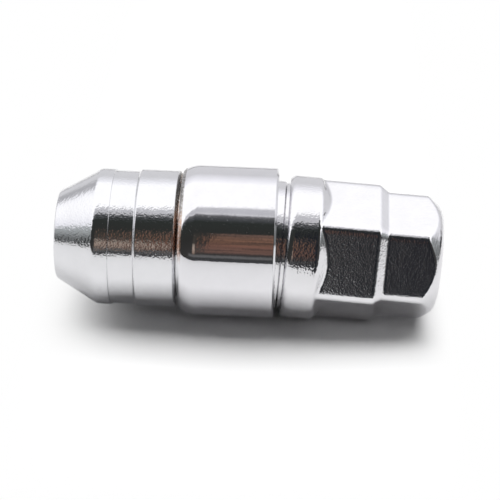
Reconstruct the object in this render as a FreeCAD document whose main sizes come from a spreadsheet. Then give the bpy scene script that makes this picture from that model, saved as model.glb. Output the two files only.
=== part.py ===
import FreeCAD, Part

import math
import os

import Sketcher


# The object is a locking wheel nut. A steel nut with a conical seat carries a sleeve that spins
# freely, so that pliers find no grip, and a snap ring holds the sleeve on. A key with two hexagons
# plugs into the coded socket in the nut's head. The whole lies on the sleeve, and the loose key
# droops until its collar meets the surface too.
#
# Each piece is drawn along its own +X axis. Stations are distances along that axis.

ORIGIN_POINT = (-1, 1)
HORIZONTAL_AXIS = -1
VERTICAL_AXIS = -2
START, END, CENTRE = 1, 2, 3
TOLERANCE = 1e-4

# Driving dimensions, in millimetres and degrees.
SIZES = {
    # nut, from the seat end to the head
    "thread_diameter": 12.0,
    "thread_pitch": 1.5,
    "thread_lead_in": 0.3,
    "tip_wall": 1.5,
    "tip_rounding": 0.4,
    "seat_angle": 60.0,
    "seat_rounding": 1.2,
    "land_length": 2.4,
    "land_inset": 0.13,
    "waist_length": 4.1,
    "waist_depth": 0.22,
    "step_length": 0.7,
    "shoulder_diameter": 23.35,
    "shoulder_length": 6.3,
    "shoulder_chamfer": 0.4,
    "neck_step": 1.98,
    "head_length": 3.85,
    "head_chamfer": 0.4,
    "web_thickness": 4.0,
    "drill_point_angle": 118.0,
    # coded socket in the nut's head
    "socket_diameter": 12.6,
    "socket_depth": 4.9,
    "flute_diameter": 2.6,
    # sleeve
    "sleeve_gap": 0.4,
    "bearing_length": 5.0,
    "bearing_clearance": 0.06,
    "ledge_height": 1.85,
    "mouth_depth": 5.9,
    "sleeve_wall": 1.25,
    "brow_radius": 5.4,
    "brow_length": 3.0,
    "sleeve_chamfer": 0.35,
    "mouth_chamfer": 0.5,
    # snap ring
    "ring_thickness": 1.2,
    "ring_gap": 0.15,
    "ring_seat_clearance": 0.05,
    "ring_groove_depth": 0.8,
    "ring_overlap": 1.1,
    "ring_opening": 2.2,
    # key
    "code_clearance": 0.42,
    "boss_end_clearance": 0.6,
    "boss_chamfer": 0.5,
    "nose_clearance": 0.57,
    "nose_end_clearance": 0.1,
    "nose_chamfer": 0.6,
    "collar_gap": 1.39,
    "undercut_width": 0.45,
    "undercut_depth": 0.3,
    "collar_step": 1.16,
    "collar_length": 5.31,
    "collar_rounding": 1.25,
    "runout_length": 2.43,
    "runout_sink": 0.7,
    "large_hexagon": 21.0,
    "large_hexagon_length": 9.8,
    "taper_length": 1.6,
    "small_hexagon": 19.0,
    "small_hexagon_length": 9.35,
    "corner_rounding": 1.8,
    "end_chamfer_length": 3.0,
    "end_chamfer_height": 2.4,
    "end_rounding": 2.2,
    "hexagon_roll": 43.9,
    "droop": 3.05,
}

# Places of the flutes round the socket, in degrees, uneven so that only this key fits.
FLUTE_ANGLES = (8.0, 61.0, 112.0, 176.0, 229.0, 297.0)


class Measure:
    """A size that carries its number and the spreadsheet expression that gives it."""

    def __init__(self, number, text):
        self.number = number
        self.text = text

    def __add__(self, other):
        other = measure(other)
        return Measure(self.number + other.number, f"({self.text} + {other.text})")

    def __sub__(self, other):
        other = measure(other)
        return Measure(self.number - other.number, f"({self.text} - {other.text})")

    def __mul__(self, other):
        other = measure(other)
        return Measure(self.number * other.number, f"({self.text} * {other.text})")

    def __truediv__(self, other):
        other = measure(other)
        return Measure(self.number / other.number, f"({self.text} / {other.text})")


def measure(value):
    if isinstance(value, Measure):
        return value
    return Measure(float(value), repr(float(value)))


def size(alias):
    """The spreadsheet's size of that name."""
    return Measure(float(sheet.get(alias)), f"sizes.{alias}")


def tangent(angle):
    return Measure(math.tan(math.radians(angle.number)), f"tan({angle.text} * 1 deg)")


def sine(angle):
    return Measure(math.sin(math.radians(angle.number)), f"sin({angle.text} * 1 deg)")


def square_root(value):
    return Measure(math.sqrt(value.number), f"sqrt({value.text})")


doc = FreeCAD.newDocument("locking_wheel_nut")
sheet = doc.addObject("Spreadsheet::Sheet", "sizes")
for row, (alias, number) in enumerate(SIZES.items(), start=1):
    sheet.set(f"A{row}", alias)
    sheet.set(f"B{row}", str(number))
    sheet.setAlias(f"B{row}", alias)
doc.recompute()


# Derived sizes that more than one piece needs.
shoulder_radius = size("shoulder_diameter") / 2
neck_radius = shoulder_radius - size("neck_step")
bearing_radius = neck_radius + size("bearing_clearance")
mouth_radius = neck_radius + size("ledge_height")
sleeve_radius = mouth_radius + size("sleeve_wall")
nose_radius = mouth_radius - size("nose_clearance")
socket_radius = size("socket_diameter") / 2
flute_radius = size("flute_diameter") / 2

thread_radius = size("thread_diameter") / 2
THREAD_HEIGHT_SHARE = 0.54127
bore_radius = thread_radius - size("thread_pitch") * THREAD_HEIGHT_SHARE
tip_radius = thread_radius + size("tip_wall")
land_radius = shoulder_radius - size("land_inset")
waist_radius = land_radius - size("waist_depth")

land_start = (land_radius - tip_radius) / tangent(size("seat_angle") / 2)
land_end = land_start + size("land_length")
waist_end = land_end + size("waist_length")
shoulder_start = waist_end + size("step_length")
shoulder_end = shoulder_start + size("shoulder_length")
sleeve_start = shoulder_end + size("sleeve_gap")
ledge_station = sleeve_start + size("bearing_length")
ring_start = ledge_station + size("ring_gap")
ring_end = ring_start + size("ring_thickness")
head_end = ring_end + size("head_length")
mouth_station = head_end + size("mouth_depth")


def new_body(name):
    body = doc.addObject("PartDesign::Body", name)
    body.Label = name
    return body


def plane_of(body, role):
    return [feature for feature in body.Origin.OriginFeatures if feature.Role == role][0]


def new_sketch(body, name, role):
    sketch = body.newObject("Sketcher::SketchObject", name)
    sketch.AttachmentSupport = [(plane_of(body, role), "")]
    sketch.MapMode = "FlatFace"
    return sketch


def fix_coordinate(sketch, kind, geometry, position, value):
    """Ties one coordinate of a point to its size, or to the axis where it is zero."""
    if abs(value.number) < TOLERANCE:
        axis = VERTICAL_AXIS if kind == "DistanceX" else HORIZONTAL_AXIS
        sketch.addConstraint(Sketcher.Constraint("PointOnObject", geometry, position, axis))
        return
    index = sketch.addConstraint(Sketcher.Constraint(kind, geometry, position, value.number))
    sketch.setExpression(f"Constraints[{index}]", value.text)


def arc_through(start, end, radius):
    """The shorter arc between two points that bulges to the left of the way from start to end."""
    chord = end - start
    middle = (start + end) / 2
    inward = FreeCAD.Vector(chord.y, -chord.x, 0).normalize()
    sagitta_side = math.sqrt(radius ** 2 - (chord.Length / 2) ** 2)
    crown = middle + inward * (sagitta_side - radius)
    return Part.Arc(start, crown, end)


def draw_outline(sketch, corners):
    """Draws a closed outline through corners of (station, radius) or (station, radius, arc radius).

    A third entry makes the stretch that leaves the corner an arc.
    """
    corners = [tuple(measure(entry) for entry in corner) for corner in corners]
    points = [FreeCAD.Vector(corner[0].number, corner[1].number, 0) for corner in corners]
    count = len(corners)
    for index, corner in enumerate(corners):
        start = points[index]
        end = points[(index + 1) % count]
        if len(corner) == 3:
            sketch.addGeometry(arc_through(start, end, corner[2].number), False)
        else:
            sketch.addGeometry(Part.LineSegment(start, end), False)
    # An arc is stored anticlockwise, so its first point may be the stretch's end.
    ends = []
    for index in range(count):
        first = sketch.getPoint(index, START)
        forward = first.distanceToPoint(points[index]) < TOLERANCE
        ends.append((START, END) if forward else (END, START))
    for index, corner in enumerate(corners):
        following = (index + 1) % count
        sketch.addConstraint(
            Sketcher.Constraint("Coincident", index, ends[index][1], following, ends[following][0])
        )
        fix_coordinate(sketch, "DistanceX", index, ends[index][0], corner[0])
        fix_coordinate(sketch, "DistanceY", index, ends[index][0], corner[1])
        if len(corner) == 3:
            constraint = sketch.addConstraint(
                Sketcher.Constraint("Radius", index, corner[2].number)
            )
            sketch.setExpression(f"Constraints[{constraint}]", corner[2].text)


def revolve(body, name, corners, cut=False):
    """Turns an outline about the piece's axis, as new material or as a cut."""
    sketch = new_sketch(body, f"{name}_outline", "XY_Plane")
    draw_outline(sketch, corners)
    kind = "PartDesign::Groove" if cut else "PartDesign::Revolution"
    feature = body.newObject(kind, name)
    feature.Profile = sketch
    feature.ReferenceAxis = (sketch, ["H_Axis"])
    feature.Angle = 360.0
    sketch.Visibility = False
    doc.recompute()
    return feature


def cross_sketch(body, name, station):
    """A sketch across the piece's axis, at a station."""
    sketch = new_sketch(body, name, "YZ_Plane")
    sketch.AttachmentOffset = FreeCAD.Placement(
        FreeCAD.Vector(0, 0, station.number), FreeCAD.Rotation()
    )
    sketch.setExpression("AttachmentOffset.Base.z", station.text)
    return sketch


def draw_circle(sketch, radius, ring_radius=None, angle=0.0):
    """A circle on the axis, or one whose centre lies on a ring about the axis."""
    centre = FreeCAD.Vector()
    if ring_radius is not None:
        reach = FreeCAD.Vector(ring_radius.number, 0, 0)
        centre = FreeCAD.Rotation(FreeCAD.Vector(0, 0, 1), angle).multVec(reach)
    circle = sketch.addGeometry(Part.Circle(centre, FreeCAD.Vector(0, 0, 1), radius.number), False)
    index = sketch.addConstraint(Sketcher.Constraint("Radius", circle, radius.number))
    sketch.setExpression(f"Constraints[{index}]", radius.text)
    if ring_radius is None:
        sketch.addConstraint(Sketcher.Constraint("Coincident", circle, CENTRE, *ORIGIN_POINT))
        return
    spoke = sketch.addGeometry(Part.LineSegment(FreeCAD.Vector(), centre), True)
    sketch.addConstraint(Sketcher.Constraint("Coincident", spoke, START, *ORIGIN_POINT))
    sketch.addConstraint(Sketcher.Constraint("Coincident", spoke, END, circle, CENTRE))
    sketch.addConstraint(Sketcher.Constraint("Angle", spoke, math.radians(angle)))
    index = sketch.addConstraint(Sketcher.Constraint("Distance", spoke, ring_radius.number))
    sketch.setExpression(f"Constraints[{index}]", ring_radius.text)


def pad(body, name, sketch, length):
    feature = body.newObject("PartDesign::Pad", name)
    feature.Profile = sketch
    feature.Length = length.number
    feature.setExpression("Length", length.text)
    sketch.Visibility = False
    doc.recompute()
    return feature


def pocket(body, name, sketch, depth):
    before = body.Shape.Volume
    feature = body.newObject("PartDesign::Pocket", name)
    feature.Profile = sketch
    feature.Length = depth.number
    feature.setExpression("Length", depth.text)
    sketch.Visibility = False
    doc.recompute()
    if feature.Shape.Volume >= before:
        raise RuntimeError(f"{name} cuts nothing")
    return feature


def ring_edges(shape, station, radius):
    """Names of the circular edges about the piece's axis at a station."""
    names = []
    for index, edge in enumerate(shape.Edges, start=1):
        curve = edge.Curve
        if not isinstance(curve, Part.Circle):
            continue
        off_axis = math.hypot(curve.Center.y, curve.Center.z)
        same_station = abs(curve.Center.x - station.number) < TOLERANCE
        same_radius = abs(curve.Radius - radius.number) < TOLERANCE
        if same_station and same_radius and off_axis < TOLERANCE:
            names.append(f"Edge{index}")
    if not names:
        raise RuntimeError(f"no edge at station {station.number} with radius {radius.number}")
    return names


def round_edge(body, name, base, station, radius, rounding):
    feature = body.newObject("PartDesign::Fillet", name)
    feature.Base = (base, ring_edges(base.Shape, station, radius))
    feature.Radius = rounding.number
    feature.setExpression("Radius", rounding.text)
    doc.recompute()
    return feature


def make_lock_nut():
    """Steel nut: conical seat, land, waist and shoulder outside, neck and head inside the sleeve."""
    body = new_body("lock_nut")
    lead_radius = thread_radius + size("thread_lead_in")
    lead_depth = lead_radius - bore_radius
    drill_tip = head_end - size("socket_depth") - size("web_thickness")
    bore_end = drill_tip - bore_radius / tangent(size("drill_point_angle") / 2)
    groove_radius = neck_radius - size("ring_groove_depth")
    groove_start = ring_start - size("ring_seat_clearance")
    groove_end = ring_end + size("ring_seat_clearance")
    shoulder_chamfer = size("shoulder_chamfer")
    head_chamfer = size("head_chamfer")
    turned = revolve(body, "turned_blank", [
        (0, lead_radius),
        (0, tip_radius),
        (land_start, land_radius),
        (land_end, land_radius),
        (land_end, waist_radius),
        (waist_end, waist_radius),
        (shoulder_start, shoulder_radius),
        (shoulder_end - shoulder_chamfer, shoulder_radius),
        (shoulder_end, shoulder_radius - shoulder_chamfer),
        (shoulder_end, neck_radius),
        (groove_start, neck_radius),
        (groove_start, groove_radius),
        (groove_end, groove_radius),
        (groove_end, neck_radius),
        (head_end - head_chamfer, neck_radius),
        (head_end, neck_radius - head_chamfer),
        (head_end, 0),
        (drill_tip, 0),
        (bore_end, bore_radius),
        (lead_depth, bore_radius),
    ])
    tip = round_edge(body, "tip_rounding", turned, measure(0), tip_radius, size("tip_rounding"))
    round_edge(body, "seat_blend", tip, land_start, land_radius, size("seat_rounding"))

    socket = cross_sketch(body, "socket_outline", head_end)
    draw_circle(socket, socket_radius)
    pocket(body, "socket", socket, size("socket_depth"))
    flutes = cross_sketch(body, "flute_outlines", head_end)
    for angle in FLUTE_ANGLES:
        draw_circle(flutes, flute_radius, socket_radius, angle)
    pocket(body, "flutes", flutes, size("socket_depth"))
    return body


def make_sleeve():
    """Free-spinning sleeve: a bearing bore on the nut's neck and a wide mouth for the key."""
    body = new_body("sleeve")
    chamfer = size("sleeve_chamfer")
    mouth_chamfer = size("mouth_chamfer")
    brow_radius = size("brow_radius")
    brow_length = size("brow_length")
    brow_run = brow_length - chamfer
    brow_drop = brow_radius - square_root(brow_radius * brow_radius - brow_run * brow_run)
    face_radius = sleeve_radius - brow_drop
    revolve(body, "turned_sleeve", [
        (sleeve_start, bearing_radius),
        (sleeve_start, face_radius - chamfer),
        (sleeve_start + chamfer, face_radius, brow_radius),
        (sleeve_start + brow_length, sleeve_radius),
        (mouth_station - chamfer, sleeve_radius),
        (mouth_station, sleeve_radius - chamfer),
        (mouth_station, mouth_radius + mouth_chamfer),
        (mouth_station - mouth_chamfer, mouth_radius),
        (ledge_station, mouth_radius),
        (ledge_station, bearing_radius),
    ])
    return body


def make_snap_ring():
    """Split spring ring in the neck's groove, which keeps the sleeve on."""
    body = new_body("snap_ring")
    inner = neck_radius - size("ring_groove_depth") + size("ring_seat_clearance")
    outer = neck_radius + size("ring_overlap")
    closed = revolve(body, "closed_ring", [
        (ring_start, inner),
        (ring_start, outer),
        (ring_end, outer),
        (ring_end, inner),
    ])
    before = closed.Shape.Volume
    opening = new_sketch(body, "opening_outline", "XY_Plane")
    draw_outline(opening, [
        (ring_start, inner / 2),
        (ring_start, outer * 2),
        (ring_end, outer * 2),
        (ring_end, inner / 2),
    ])
    cut = body.newObject("PartDesign::Pocket", "opening")
    cut.Profile = opening
    cut.Length = size("ring_opening").number
    cut.setExpression("Length", size("ring_opening").text)
    cut.Midplane = True
    opening.Visibility = False
    doc.recompute()
    if cut.Shape.Volume >= before:
        raise RuntimeError("the snap ring isn't split")
    return body


def hexagon_sketch(body, name, station, across_flats):
    """A hexagon with rounded corners, turned about the axis by the key's roll."""
    sketch = cross_sketch(body, name, station)
    roll = size("hexagon_roll")
    sketch.AttachmentOffset = FreeCAD.Placement(
        FreeCAD.Vector(0, 0, station.number),
        FreeCAD.Rotation(FreeCAD.Vector(0, 0, 1), roll.number),
    )
    sketch.setExpression("AttachmentOffset.Rotation.Angle", roll.text)
    rounding = size("corner_rounding")
    inset = across_flats / 2 - rounding
    half_flat = inset.number * math.tan(math.radians(30))
    axis = FreeCAD.Vector(0, 0, 1)
    sides = []
    corners = []
    for index in range(6):
        turn = FreeCAD.Rotation(axis, 60 * index)
        start = turn.multVec(FreeCAD.Vector(across_flats.number / 2, -half_flat, 0))
        end = turn.multVec(FreeCAD.Vector(across_flats.number / 2, half_flat, 0))
        sides.append(sketch.addGeometry(Part.LineSegment(start, end), False))
        centre = turn.multVec(FreeCAD.Vector(inset.number, half_flat, 0))
        circle = Part.Circle(centre, axis, rounding.number)
        first = math.radians(60 * index)
        arc = Part.ArcOfCircle(circle, first, first + math.radians(60))
        corners.append(sketch.addGeometry(arc, False))
    for index in range(6):
        following = sides[(index + 1) % 6]
        sketch.addConstraint(
            Sketcher.Constraint("Tangent", sides[index], END, corners[index], START)
        )
        sketch.addConstraint(
            Sketcher.Constraint("Tangent", corners[index], END, following, START)
        )
        direction = math.radians(90 + 60 * index)
        sketch.addConstraint(Sketcher.Constraint("Angle", sides[index], direction))
        reach = sketch.addConstraint(
            Sketcher.Constraint("Distance", *ORIGIN_POINT, sides[index], across_flats.number / 2)
        )
        sketch.setExpression(f"Constraints[{reach}]", (across_flats / 2).text)
        radius = sketch.addConstraint(
            Sketcher.Constraint("Radius", corners[index], rounding.number)
        )
        sketch.setExpression(f"Constraints[{radius}]", rounding.text)
    return sketch


def make_key():
    """Key: coded boss, nose in the sleeve's mouth, collar, large and small hexagon."""
    body = new_body("key")
    boss_reach = size("socket_depth") - size("boss_end_clearance")
    nose_gap = neck_radius * sine(size("droop")) + size("nose_end_clearance")
    nose_start = boss_reach + nose_gap
    collar_start = boss_reach + size("mouth_depth") + size("collar_gap")
    undercut_start = collar_start - size("undercut_width")
    undercut_radius = nose_radius - size("undercut_depth")
    collar_radius = nose_radius + size("collar_step")
    collar_end = collar_start + size("collar_length")
    runout_end = collar_end + size("runout_length")
    taper_start = collar_end + size("large_hexagon_length")
    taper_end = taper_start + size("taper_length")
    key_end = taper_end + size("small_hexagon_length")
    root_radius = size("large_hexagon") / 2 - size("runout_sink")
    boss_radius = socket_radius - size("code_clearance")
    lobe_radius = flute_radius - size("code_clearance")
    boss_chamfer = size("boss_chamfer")
    nose_chamfer = size("nose_chamfer")

    turned = revolve(body, "turned_blank", [
        (0, 0),
        (0, boss_radius - boss_chamfer),
        (boss_chamfer, boss_radius),
        (nose_start, boss_radius),
        (nose_start, nose_radius - nose_chamfer),
        (nose_start + nose_chamfer, nose_radius),
        (undercut_start, nose_radius),
        (undercut_start, undercut_radius),
        (collar_start, undercut_radius),
        (collar_start, collar_radius),
        (collar_end, collar_radius),
        (runout_end, root_radius),
        (runout_end, 0),
    ])
    round_edge(body, "collar_edge", turned, collar_start, collar_radius, size("collar_rounding"))

    lobes = cross_sketch(body, "lobe_outlines", boss_chamfer)
    for angle in FLUTE_ANGLES:
        draw_circle(lobes, lobe_radius, socket_radius, angle)
    pad(body, "lobes", lobes, nose_start - boss_chamfer)

    large = hexagon_sketch(body, "large_hexagon_outline", collar_end, size("large_hexagon"))
    pad(body, "large_hexagon", large, taper_start - collar_end)
    taper_base = hexagon_sketch(body, "taper_base", taper_start, size("large_hexagon"))
    taper_top = hexagon_sketch(body, "taper_top", taper_end, size("small_hexagon"))
    taper = body.newObject("PartDesign::AdditiveLoft", "taper")
    taper.Profile = taper_base
    taper.Sections = [taper_top]
    taper.Ruled = True
    doc.recompute()
    small = hexagon_sketch(body, "small_hexagon_outline", taper_end, size("small_hexagon"))
    prism = pad(body, "small_hexagon", small, key_end - taper_end)

    corner_radius = size("small_hexagon") / 2 / measure(math.cos(math.radians(30)))
    face_radius = corner_radius - size("end_chamfer_height")
    clear_radius = corner_radius * 1.5
    before = prism.Shape.Volume
    chamfer = revolve(body, "end_chamfer", [
        (key_end - size("end_chamfer_length"), corner_radius),
        (key_end, face_radius),
        (key_end, clear_radius),
        (key_end - size("end_chamfer_length"), clear_radius),
    ], cut=True)
    if chamfer.Shape.Volume >= before:
        raise RuntimeError("the key's end isn't chamfered")
    round_edge(body, "end_rounding", chamfer, key_end, face_radius, size("end_rounding"))
    return body, boss_reach


def place_pieces(bodies, key, boss_reach):
    """Lays the part on its sleeve, with the origin below the middle of its length."""
    axis_height = sleeve_radius.number
    tilt = FreeCAD.Rotation(FreeCAD.Vector(0, 1, 0), size("droop").number)
    pivot = FreeCAD.Vector(head_end.number, 0, axis_height)
    boss_tip = pivot - tilt.multVec(FreeCAD.Vector(boss_reach.number, 0, 0))
    for body in bodies:
        body.Placement = FreeCAD.Placement(FreeCAD.Vector(0, 0, axis_height), FreeCAD.Rotation())
    key.Placement = FreeCAD.Placement(boss_tip, tilt)
    doc.recompute()
    boxes = [body.Shape.optimalBoundingBox(False) for body in bodies + [key]]
    middle = (min(box.XMin for box in boxes) + max(box.XMax for box in boxes)) / 2
    for body in bodies + [key]:
        body.Placement.Base = body.Placement.Base - FreeCAD.Vector(middle, 0, 0)
    doc.recompute()


def check_and_write(bodies):
    for item in doc.Objects:
        if "Invalid" in item.State or "Error" in item.State:
            raise RuntimeError(f"{item.Name} failed: {item.State}")
    for body in bodies:
        if body.Shape.isNull() or not body.Shape.isValid():
            raise RuntimeError(f"{body.Label} has no valid shape")
        if len(body.Shape.Solids) != 1:
            raise RuntimeError(f"{body.Label} isn't one solid")
    os.makedirs("parts", exist_ok=True)
    for body in bodies:
        body.Shape.exportStep(f"parts/{body.Label}.step")
        print(body.Label, round(body.Shape.Volume, 1), "mm3")


lock_nut = make_lock_nut()
sleeve = make_sleeve()
snap_ring = make_snap_ring()
key, boss_reach = make_key()
place_pieces([lock_nut, sleeve, snap_ring], key, boss_reach)
check_and_write([lock_nut, sleeve, snap_ring, key])
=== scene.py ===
import math

import bpy
import numpy as np
from mathutils import Matrix, Vector


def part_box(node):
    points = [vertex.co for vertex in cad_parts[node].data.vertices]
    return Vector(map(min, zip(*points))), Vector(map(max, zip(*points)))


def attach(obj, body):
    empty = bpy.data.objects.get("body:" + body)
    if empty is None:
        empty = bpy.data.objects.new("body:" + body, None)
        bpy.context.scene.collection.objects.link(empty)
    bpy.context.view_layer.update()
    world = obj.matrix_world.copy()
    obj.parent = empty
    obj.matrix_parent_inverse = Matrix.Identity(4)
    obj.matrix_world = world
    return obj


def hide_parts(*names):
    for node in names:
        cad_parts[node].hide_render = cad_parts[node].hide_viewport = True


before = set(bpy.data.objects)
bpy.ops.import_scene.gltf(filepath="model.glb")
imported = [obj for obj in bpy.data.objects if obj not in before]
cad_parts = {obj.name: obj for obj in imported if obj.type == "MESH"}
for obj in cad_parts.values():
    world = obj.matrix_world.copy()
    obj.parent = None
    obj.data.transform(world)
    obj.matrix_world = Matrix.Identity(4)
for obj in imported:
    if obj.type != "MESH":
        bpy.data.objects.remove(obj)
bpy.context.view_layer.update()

# Units. Sizes of the pieces are in millimetres, as on a drawing, and places are in metres.
MM = 0.001

# Sizes, in millimetres. Stations run from the nut's small end towards the key.
THREAD_PITCH = 1.5
BORE_RADIUS = 5.188
THREAD_DEPTH = 0.7
THREAD_FLANK = 2.6
THREAD_CREST = 1.15
THREAD_FADE_PITCHES = 2
LEAD_RADIUS = 6.3
TIP_RADIUS = 7.5
LAND_RADIUS = 11.545
WAIST_RADIUS = 11.325
SHOULDER_RADIUS = 11.675
NECK_RADIUS = 9.695
LAND_START = 7.006
LAND_END = 9.406
WAIST_END = 13.506
WAIST_STEP = 0.35
SHOULDER_END = 20.506
SHOULDER_CHAMFER = 0.4
GROOVE_START = 26.006
GROOVE_END = 27.306
GROOVE_RADIUS = 8.895
HEAD_END = 31.106
HEAD_CHAMFER = 0.4
SOCKET_DEPTH = 4.9
SOCKET_RADIUS = 6.3
FLUTE_RADIUS = 1.3
SOCKET_EDGE = 0.12
FLUTE_ANGLES = (8.0, 61.0, 112.0, 176.0, 229.0, 297.0)
DRILL_TIP = 22.206
BORE_END = 19.089

SLEEVE_START = 20.906
LEDGE_STATION = 25.906
MOUTH_STATION = 37.006
BEARING_RADIUS = 9.755
MOUTH_RADIUS = 11.545
SLEEVE_RADIUS = 12.795
BROW_RADIUS = 5.4
BROW_LENGTH = 3.0
SLEEVE_CHAMFER = 0.35
MOUTH_CHAMFER = 0.5

RING_START = 26.056
RING_END = 27.256
RING_INNER = 8.945
RING_OUTER = 10.795
RING_OPENING = 2.2

# Key, with distances from its boss tip.
DROOP = 3.05
BOSS_REACH = 4.3
BOSS_RADIUS = 5.88
LOBE_RADIUS = 0.88
NOSE_START = 4.891
NOSE_RADIUS = 10.975
NOSE_CHAMFER = 0.6
UNDERCUT_WIDTH = 0.8
UNDERCUT_DEPTH = 0.26
UNDERCUT_SLANT = 0.26
COLLAR_START = 11.59
COLLAR_END = 16.9
COLLAR_RADIUS = 12.135
COLLAR_LEAN_LENGTH = 0.65
COLLAR_LEAN_HEIGHT = 0.55
COLLAR_ROUNDING = 1.6
RUNOUT_END = 19.33
RUNOUT_SINK = 0.7
LARGE_HALF_FLAT = 10.5
TAPER_START = 26.7
TAPER_END = 28.3
SMALL_HALF_FLAT = 9.5
KEY_END = 37.65
CORNER_ROUNDING = 1.8
HEXAGON_ROLL = 43.9
END_CHAMFER_LENGTH = 3.0
END_FACE_RADIUS = 8.57
END_ROUNDING = 2.2

# The cone of the key's end starts a little before the hexagon's corners, and stands out of them.
END_LEAD = 0.6
END_LEAD_RISE = 0.48

# Edges of the key's boss: the tip's chamfer, the small edges beside it, and the fillet at the foot.
BOSS_CHAMFER = 0.5
BOSS_EDGE_LENGTH = 0.06
BOSS_EDGE_HEIGHT = 0.05
LOBE_EDGE_HEIGHT = 0.04
BOSS_FOOT = 0.1

# Softness of the creases where the hexagons meet the collar's cone and the key's rounded end.
CONE_CREASE = 0.3
END_CREASE = 0.25

# Mesh fineness. Angles are in degrees. A support row stands beside each rounding, and a rounding
# takes no more than its share of the side that two corners have in common.
SLEEVE_STEPS = 240
NUT_STEPS = 168
KEY_STEPS = 132
RING_STEPS = 121
BROW_STEPS = 12
FILLET_STEPS = 7
THREAD_ROWS_PER_PITCH = 12
SUPPORT = 0.05
SIDE_SHARE = 0.48
CLOSEST_ANGLES = 0.25
NUT_FLUTE_SPREAD, NUT_FLUTE_STEPS = 12.0, 13
KEY_FLUTE_SPREAD, KEY_FLUTE_STEPS = 8.5, 9
HEXAGON_CORNER_SPREAD, HEXAGON_CORNER_STEPS = 3.6, 13
FINE_ROWS = 0.1
TAPER_ROWS = 0.12
END_ROWS = 0.15
PLAIN_ROWS = 0.6

TIP_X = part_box("lock_nut")[0].x
sleeve_low, sleeve_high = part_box("sleeve")
AXIS_HEIGHT = (sleeve_low.z + sleeve_high.z) / 2
ON_THE_AXIS = Matrix.Translation((TIP_X, 0, AXIS_HEIGHT))


def rounded_path(corners):
    """Points of (station, radius) through corners of (station, radius, rounding)."""
    points = []
    for index, (station, radius, rounding) in enumerate(corners):
        here = np.array([station, radius], float)
        if rounding <= 0 or index in (0, len(corners) - 1):
            points.append(here)
            continue
        before = np.array(corners[index - 1][:2], float) - here
        after = np.array(corners[index + 1][:2], float) - here
        before_length = np.linalg.norm(before)
        after_length = np.linalg.norm(after)
        before /= before_length
        after /= after_length
        cosine = float(np.clip(before @ after, -1.0, 1.0))
        half_angle = math.acos(cosine) / 2
        reach = rounding / math.tan(half_angle)
        room_before = max(before_length * SIDE_SHARE,
                          before_length - corners[index - 1][2] - SUPPORT)
        room_after = max(after_length * SIDE_SHARE,
                         after_length - corners[index + 1][2] - SUPPORT)
        reach = min(reach, room_before, room_after)
        arc_radius = reach * math.tan(half_angle)
        middle = before + after
        middle /= np.linalg.norm(middle)
        centre = here + middle * (arc_radius / math.sin(half_angle))
        first = here + before * reach
        last = here + after * reach
        if before_length * SIDE_SHARE > reach + SUPPORT:
            points.append(first + before * SUPPORT)
        first_angle = math.atan2(*(first - centre)[::-1])
        sweep = math.atan2(*(last - centre)[::-1]) - first_angle
        sweep = (sweep + math.pi) % (2 * math.pi) - math.pi
        for step in range(FILLET_STEPS + 1):
            angle = first_angle + sweep * step / FILLET_STEPS
            points.append(centre + arc_radius * np.array([math.cos(angle), math.sin(angle)]))
        if after_length * SIDE_SHARE > reach + SUPPORT:
            points.append(last + after * SUPPORT)
    return points


def smooth_lower(a, b, softness):
    """The lower of two surfaces, with their crease rounded."""
    share = np.clip(0.5 + 0.5 * (b - a) / softness, 0, 1)
    return b * (1 - share) + a * share - softness * share * (1 - share)


def smooth_upper(a, b, softness):
    """The upper of two surfaces, with their crease rounded."""
    return -smooth_lower(-a, -b, softness)


def skin(name, rows, angles, closed_start, closed_end, loop=False):
    """A closed mesh of rings about the X axis. Each row is (station, radius), by angle or plain.

    A closed start or end gathers that row's ring into one point on the axis.
    """
    count = len(angles)
    cosine = np.cos(angles)
    sine = np.sin(angles)
    vertices = []
    rings = []
    for index, (station, radius) in enumerate(rows):
        pole = (index == 0 and closed_start) or (index == len(rows) - 1 and closed_end)
        if pole:
            rings.append([len(vertices)] * count)
            vertices.append((float(np.mean(station)), 0.0, 0.0))
            continue
        stations = np.broadcast_to(station, (count,))
        radii = np.broadcast_to(radius, (count,))
        start = len(vertices)
        rings.append(list(range(start, start + count)))
        vertices.extend(zip(stations, radii * cosine, radii * sine))
    faces = []
    pairs = list(zip(rings, rings[1:]))
    if loop:
        pairs.append((rings[-1], rings[0]))
    for ring, following in pairs:
        for step in range(count):
            turn = (step + 1) % count
            corner = (ring[step], following[step], following[turn], ring[turn])
            unique = tuple(dict.fromkeys(corner))
            if len(unique) > 2:
                faces.append(unique)
    mesh = bpy.data.meshes.new(name)
    mesh.from_pydata([tuple(value * MM for value in vertex) for vertex in vertices], [], faces)
    mesh.validate()
    mesh.shade_smooth()
    piece = bpy.data.objects.new(name, mesh)
    bpy.context.scene.collection.objects.link(piece)
    return piece


def face_outward(piece):
    """Turns all faces outward, judged by the enclosed volume."""
    mesh = piece.data
    mesh.calc_loop_triangles()
    points = np.array([vertex.co for vertex in mesh.vertices])
    triangles = np.array([triangle.vertices for triangle in mesh.loop_triangles])
    a, b, c = points[triangles[:, 0]], points[triangles[:, 1]], points[triangles[:, 2]]
    if np.einsum("ij,ij->i", a, np.cross(b, c)).sum() < 0:
        mesh.flip_normals()


def place(piece, material, transform, body, node):
    """Moves a mesh to its place, gives it its material slot, hangs it on its body and hides its CAD
    node.
    """
    piece.data.materials.append(material)
    piece.data.transform(transform)
    face_outward(piece)
    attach(piece, body)
    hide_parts(node)


def even_angles(count):
    return np.linspace(0, 2 * math.pi, count, endpoint=False)


def flute_angles_near(spread, count):
    """Angles packed round each flute of the code."""
    offsets = np.radians(np.linspace(-spread, spread, count))
    return np.concatenate([math.radians(angle) + offsets for angle in FLUTE_ANGLES])


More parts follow.
